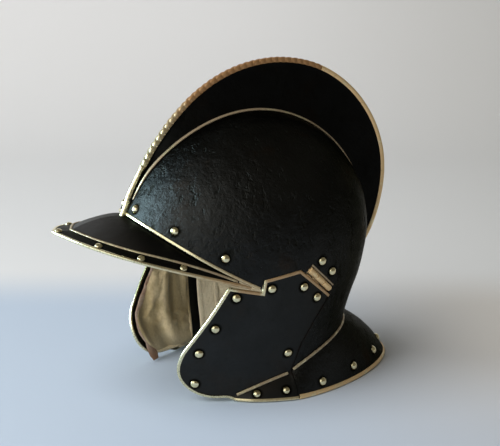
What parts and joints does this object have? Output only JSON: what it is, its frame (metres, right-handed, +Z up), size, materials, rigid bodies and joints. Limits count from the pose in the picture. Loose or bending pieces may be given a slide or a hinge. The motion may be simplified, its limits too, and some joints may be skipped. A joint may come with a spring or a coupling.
{
  "type": "burgonet helmet",
  "caption": "Open-faced steel helmet with a tall hollow comb, fixed peak, flared neck guard and hinged cheekpieces, edged in brass and lined.",
  "frame": {"origin": "centre of the bounding box in X and Y, on the floor the helmet stands on", "axes": "+Z up; the face looks towards -Y; the wearer's left side is +X"},
  "size_m": [0.1934, 0.3308, 0.2905],
  "materials": {
    "blackened_steel": "hammered, blackened and waxed",
    "brass": "hand-burnished",
    "lining_cloth": "coarse woven linen"
  },
  "bodies": {
    "helmet": {"brow_binding": "brass", "brow_rivet_left_1": "brass", "brow_rivet_left_2": "brass", "brow_rivet_left_3": "brass", "brow_rivet_right_1": "brass", "brow_rivet_right_2": "brass", "brow_rivet_right_3": "brass", "comb_binding_plain": "brass", "comb_binding_roped": "brass", "comb_line": "brass", "hinge_skull_leaf_left": "brass", "hinge_skull_leaf_right": "brass", "neck_binding": "brass", "neck_line": "brass", "neck_rivet_left_1": "brass", "neck_rivet_left_2": "brass", "neck_rivet_left_3": "brass", "neck_rivet_left_4": "brass", "neck_rivet_right_1": "brass", "neck_rivet_right_2": "brass", "neck_rivet_right_3": "brass", "neck_rivet_right_4": "brass", "peak": "blackened_steel", "peak_binding": "brass", "peak_line": "brass", "peak_rivet_centre": "brass", "peak_rivet_left_1": "brass", "peak_rivet_left_2": "brass", "peak_rivet_left_3": "brass", "peak_rivet_right_1": "brass", "peak_rivet_right_2": "brass", "peak_rivet_right_3": "brass", "skull": "blackened_steel", "skull_lining": "lining_cloth"},
    "cheek_left": {"cheek_binding_left": "brass", "cheek_line_left": "brass", "cheek_lining_left": "lining_cloth", "cheek_plate_left": "blackened_steel", "cheek_rivet_left_1": "brass", "cheek_rivet_left_2": "brass", "cheek_rivet_left_3": "brass", "cheek_rivet_left_4": "brass", "cheek_rivet_left_5": "brass", "cheek_rivet_left_6": "brass", "cheek_rivet_left_7": "brass", "cheek_rivet_left_8": "brass", "hinge_cheek_leaf_left": "brass"},
    "cheek_right": {"cheek_binding_right": "brass", "cheek_line_right": "brass", "cheek_lining_right": "lining_cloth", "cheek_plate_right": "blackened_steel", "cheek_rivet_right_1": "brass", "cheek_rivet_right_2": "brass", "cheek_rivet_right_3": "brass", "cheek_rivet_right_4": "brass", "cheek_rivet_right_5": "brass", "cheek_rivet_right_6": "brass", "cheek_rivet_right_7": "brass", "cheek_rivet_right_8": "brass", "hinge_cheek_leaf_right": "brass"}
  },
  "joints": [
    {"name": "cheek_left_hinge", "type": "hinge", "parent": "helmet", "child": "cheek_left", "pos_m": [0.09026, 0.04554, 0.10725], "axis": [0.2327, -0.7167, 0.6574], "range_deg": [0, 100]},
    {"name": "cheek_right_hinge", "type": "hinge", "parent": "helmet", "child": "cheek_right", "pos_m": [-0.09026, 0.04554, 0.10725], "axis": [0.2327, 0.7167, -0.6574], "range_deg": [0, 100]}
  ]
}
